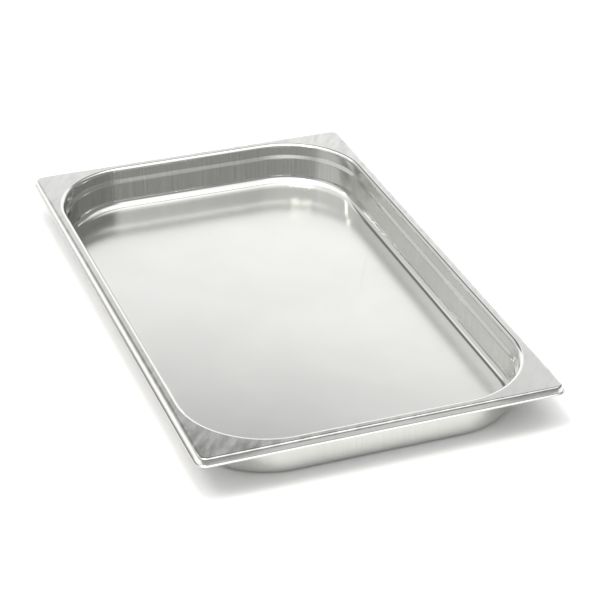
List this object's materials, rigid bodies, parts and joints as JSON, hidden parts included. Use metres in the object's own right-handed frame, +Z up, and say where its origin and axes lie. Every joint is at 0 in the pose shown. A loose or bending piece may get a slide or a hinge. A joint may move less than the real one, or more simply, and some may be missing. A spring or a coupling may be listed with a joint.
{
  "type": "food pan",
  "caption": "Shallow full-size rectangular food pan, deep-drawn in one piece from stainless steel sheet, with a flat rim, flared lip and stacking shoulder.",
  "frame": {"origin": "centre of the underside, on the surface the pan stands on", "axes": "+Z up, +X across the pan's width, +Y along its length"},
  "size_m": [0.325, 0.53, 0.04],
  "materials": {
    "stainless": "satin-bright cold-rolled stainless, burnished on the rim"
  },
  "bodies": {
    "root": {"pan": "stainless"}
  },
  "joints": []
}
